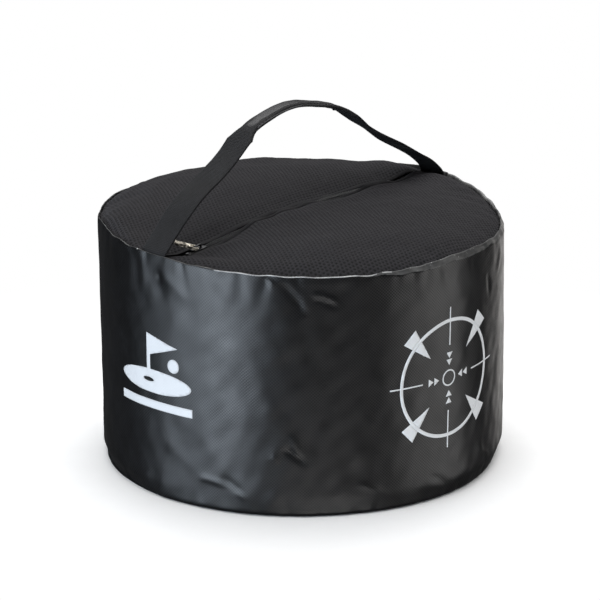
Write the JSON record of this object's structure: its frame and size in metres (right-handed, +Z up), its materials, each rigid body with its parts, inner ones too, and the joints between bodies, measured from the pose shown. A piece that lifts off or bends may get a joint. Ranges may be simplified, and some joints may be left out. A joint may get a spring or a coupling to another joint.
{
  "type": "golf impact bag",
  "caption": "Round weighted golf impact bag with a glossy drum wall, crowned mesh top, zip across the top, carrying handle and printed target.",
  "frame": {"origin": "centre of the base, on the floor", "axes": "+Z up; the target print faces -Y; the zip and the handle run along X, with the zip slider parked at the -X end"},
  "size_m": [0.3802, 0.3802, 0.3394],
  "materials": {
    "coated_fabric": "glossy coated fabric, broad soft highlights",
    "coated_fabric_edge": "folded edge of the coated fabric",
    "binding_tape": "woven binding tape",
    "thread": "polyester thread",
    "grip_thread": "polyester thread",
    "air_mesh": "matt knitted air mesh",
    "zip_tape": "woven zip tape",
    "zip_coil": "nylon coil",
    "zip_metal": "black lacquered die-cast metal",
    "pull_metal": "plated metal",
    "webbing": "ribbed polyester webbing",
    "grip_leatherette": "soft leatherette with a fine grain",
    "target_ink": "screen-printed ink",
    "badge_ink": "screen-printed ink",
    "towel": "cotton terry towelling"
  },
  "bodies": {
    "shell": {"side_panel": "coated_fabric", "side_seam_tape": "binding_tape", "bottom_panel": "coated_fabric", "bottom_seam_binding": "binding_tape", "bottom_seam_stitching": "thread", "top_seam_binding": "coated_fabric_edge", "top_seam_stitching": "thread", "top_mesh_front": "air_mesh", "top_mesh_back": "air_mesh", "zip_tape_front": "zip_tape", "zip_tape_back": "zip_tape", "zip_coil_front": "zip_coil", "zip_coil_back": "zip_coil", "zip_top_stops": "zip_metal", "zip_bottom_stop": "zip_metal", "handle_anchor_left": "webbing", "handle_anchor_right": "webbing", "handle_bar_tacks": "thread", "target_print": "target_ink", "badge_print": "badge_ink", "towel_roll_0": "towel", "towel_roll_1": "towel", "towel_roll_2": "towel", "towel_roll_3": "towel", "towel_roll_4": "towel", "towel_roll_5": "towel", "towel_roll_6": "towel", "filling_top_pad": "towel"},
    "handle": {"handle_webbing": "webbing", "handle_grip": "grip_leatherette", "grip_stitching": "grip_thread"},
    "zip_slider": {"zip_slider_body": "zip_metal", "zip_slider_bail": "zip_metal"},
    "zip_pull": {"zip_pull_tab": "pull_metal"}
  },
  "joints": [
    {"name": "handle_fold", "type": "hinge", "parent": "shell", "child": "handle", "pos_m": [0, 0, 0.243], "axis": [1, 0, 0], "range_deg": [-45, 45]},
    {"name": "zip_slide", "type": "hinge", "parent": "shell", "child": "zip_slider", "pos_m": [0.07, 0, -0.962], "axis": [0, 1, 0], "range_deg": [0, 11.7]},
    {"name": "pull_swing", "type": "hinge", "parent": "zip_slider", "child": "zip_pull", "pos_m": [-0.13475, 0, 0.22487], "axis": [0, 1, 0], "range_deg": [0, 132]}
  ]
}
